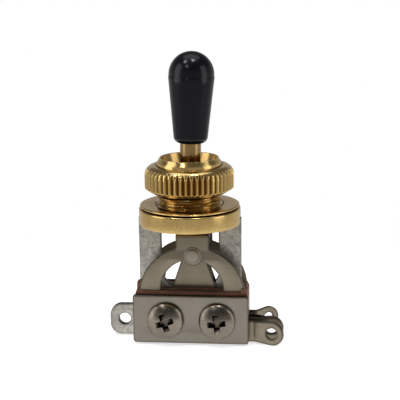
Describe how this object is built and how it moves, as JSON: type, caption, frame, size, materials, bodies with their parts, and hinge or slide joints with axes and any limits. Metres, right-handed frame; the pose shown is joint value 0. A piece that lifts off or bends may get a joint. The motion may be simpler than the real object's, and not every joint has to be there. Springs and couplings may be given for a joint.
{
  "type": "toggle switch",
  "caption": "Panel-mounted toggle leaf switch: knurled nut on a threaded bushing, flat frame, clamped stack of contact leaves with solder lugs.",
  "frame": {"origin": "on the bushing's axis, at the washer's top face, where the panel sits", "axes": "+Z along the bushing's axis towards the lever's tip; -Y towards the screw heads; +X towards the four solder lugs, -X towards the ground lug; the lever swings front to back, about X"},
  "size_m": [0.0325, 0.0186, 0.053],
  "materials": {
    "gold": "polished gold plating",
    "nickel": "satin nickel plating",
    "leaf_metal": "rolled nickel silver, satin",
    "frame_metal": "dull zinc-grey plating",
    "contact_metal": "riveted silver contact",
    "pin_steel": "ground steel",
    "tip_plastic": "semi-gloss black",
    "nylon": "natural nylon",
    "laminate": "paper laminate, sawn edges",
    "sleeve_plastic": "extruded tube"
  },
  "bodies": {
    "housing": {"pivot_pin": "pin_steel", "bushing": "gold", "washer": "gold", "frame": "frame_metal", "front_clamp_plate": "nickel", "rear_clamp_plate": "nickel", "front_outer_insulator": "laminate", "rear_outer_insulator": "laminate", "front_spacer": "laminate", "rear_spacer": "laminate", "front_frame_insulator": "laminate", "rear_frame_insulator": "laminate", "front_leaf_terminal": "leaf_metal", "rear_leaf_terminal": "leaf_metal", "front_fixed_leaf": "leaf_metal", "rear_fixed_leaf": "leaf_metal", "front_fixed_contact": "contact_metal", "rear_fixed_contact": "contact_metal", "left_clamp_screw": "nickel", "right_clamp_screw": "nickel", "left_screw_sleeve": "sleeve_plastic", "right_screw_sleeve": "sleeve_plastic"},
    "lever": {"lever_tip": "tip_plastic", "lever_shaft": "gold", "roller_pin": "pin_steel"},
    "roller": {"actuator_roller": "nylon"},
    "front_leaf": {"front_leaf_spring": "leaf_metal", "front_leaf_contact": "contact_metal"},
    "rear_leaf": {"rear_leaf_spring": "leaf_metal", "rear_leaf_contact": "contact_metal"},
    "nut": {"knurled_nut": "gold"}
  },
  "joints": [
    {"name": "lever_tilt", "type": "hinge", "parent": "housing", "child": "lever", "pos_m": [0, 0, -0.0016], "axis": [1, 0, 0], "range_deg": [-14, 14]},
    {"name": "front_leaf_flex", "type": "hinge", "parent": "housing", "child": "front_leaf", "pos_m": [0.00055, -0.00315, -0.0155], "axis": [1, 0, 0], "range_deg": [-6.2, 6.2]},
    {"name": "rear_leaf_flex", "type": "hinge", "parent": "housing", "child": "rear_leaf", "pos_m": [0.00055, 0.00315, -0.0155], "axis": [1, 0, 0], "range_deg": [-6.2, 6.2]},
    {"name": "roller_spin", "type": "hinge", "parent": "lever", "child": "roller", "pos_m": [0, 0, -0.00585], "axis": [1, 0, 0], "continuous": true},
    {"name": "nut_turn", "type": "hinge", "parent": "housing", "child": "nut", "pos_m": [0, 0, 0.005], "axis": [0, 0, 1], "continuous": true}
  ],
  "couplings": [
    {"joint": "front_leaf_flex", "follows": "lever_tilt", "ratio": -0.44041},
    {"joint": "rear_leaf_flex", "follows": "lever_tilt", "ratio": -0.44041}
  ]
}
